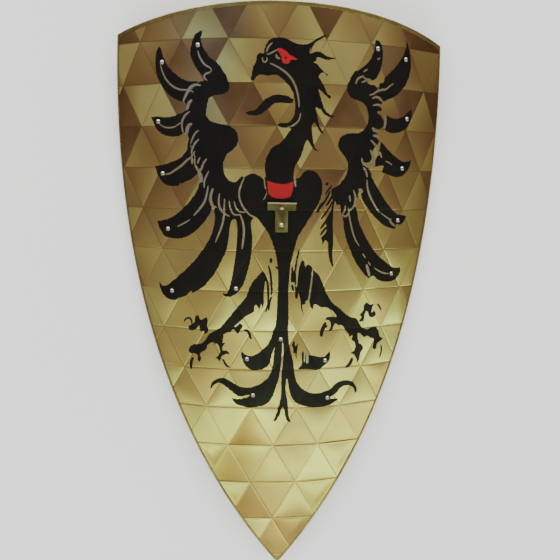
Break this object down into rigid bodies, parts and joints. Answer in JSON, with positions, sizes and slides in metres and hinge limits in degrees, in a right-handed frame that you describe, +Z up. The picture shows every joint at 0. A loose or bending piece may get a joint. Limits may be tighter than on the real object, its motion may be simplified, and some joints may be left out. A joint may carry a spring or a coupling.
{
  "type": "heraldic shield",
  "caption": "Heater shield bent about its long axis, with an embossed brass face, a painted heraldic eagle, folded edging and domed nails, lying face up on its rim.",
  "frame": {"origin": "centre of the bounding box on the floor that the shield lies on", "axes": "+Z up out of the face, +Y from the tip towards the top edge, +X to the right as the face is seen"},
  "size_m": [0.3594, 0.6054, 0.0883],
  "materials": {
    "board_wood": "bare oiled wood",
    "face_brass": "polished sheet brass embossed in triangles, with a glossy black and red painted eagle",
    "edging_brass": "worn folded brass strip",
    "bracket_brass": "dull olive brass plate",
    "nail_brass": "polished",
    "nail_silver": "polished white metal"
  },
  "bodies": {
    "root": {"board": "board_wood", "face_sheet": "face_brass", "edging_top": "edging_brass", "edging_right": "edging_brass", "edging_left": "edging_brass", "bracket_plate": "bracket_brass", "bracket_nail_upper": "nail_brass", "bracket_nail_lower": "nail_brass", "nail_left_wing_1": "nail_silver", "nail_left_wing_2": "nail_silver", "nail_left_wing_3": "nail_silver", "nail_left_wing_4": "nail_silver", "nail_left_wing_5": "nail_silver", "nail_left_wing_6": "nail_silver", "nail_left_wing_7": "nail_silver", "nail_right_wing_1": "nail_silver", "nail_right_wing_2": "nail_silver", "nail_right_wing_3": "nail_silver", "nail_right_wing_4": "nail_silver", "nail_right_wing_5": "nail_silver", "nail_right_wing_6": "nail_silver", "nail_tail_1": "nail_silver", "nail_tail_2": "nail_silver", "nail_tail_3": "nail_silver", "nail_tail_4": "nail_silver", "nail_tail_5": "nail_silver"}
  },
  "joints": []
}
